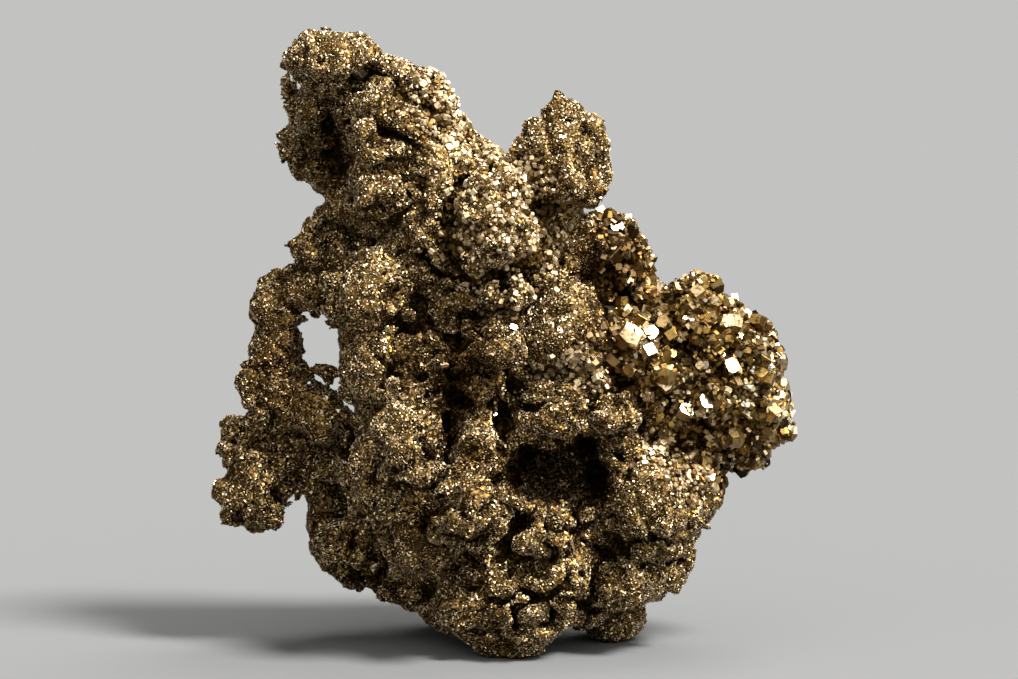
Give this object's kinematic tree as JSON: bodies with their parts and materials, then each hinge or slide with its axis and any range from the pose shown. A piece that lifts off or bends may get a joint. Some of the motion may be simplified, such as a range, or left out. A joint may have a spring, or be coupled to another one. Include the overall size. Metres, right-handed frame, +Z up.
{
  "type": "pyrite specimen",
  "caption": "Free-standing nodular pyrite specimen with a drusy skin, horns on top, a side arm beside a window, and coarse crystals on one side.",
  "frame": {"origin": "middle of the underside of the bounding box, on the plane the specimen stands on", "axes": "+Z up, along the height; the front, with the vug and the coarse crystals, faces -Y; +X to the right as seen from the front"},
  "size_m": [0.0942, 0.0522, 0.1003],
  "materials": {
    "pyrite": "drusy metallic crystals, bronzed"
  },
  "bodies": {
    "root": {"pyrite_specimen": "pyrite"}
  },
  "joints": []
}
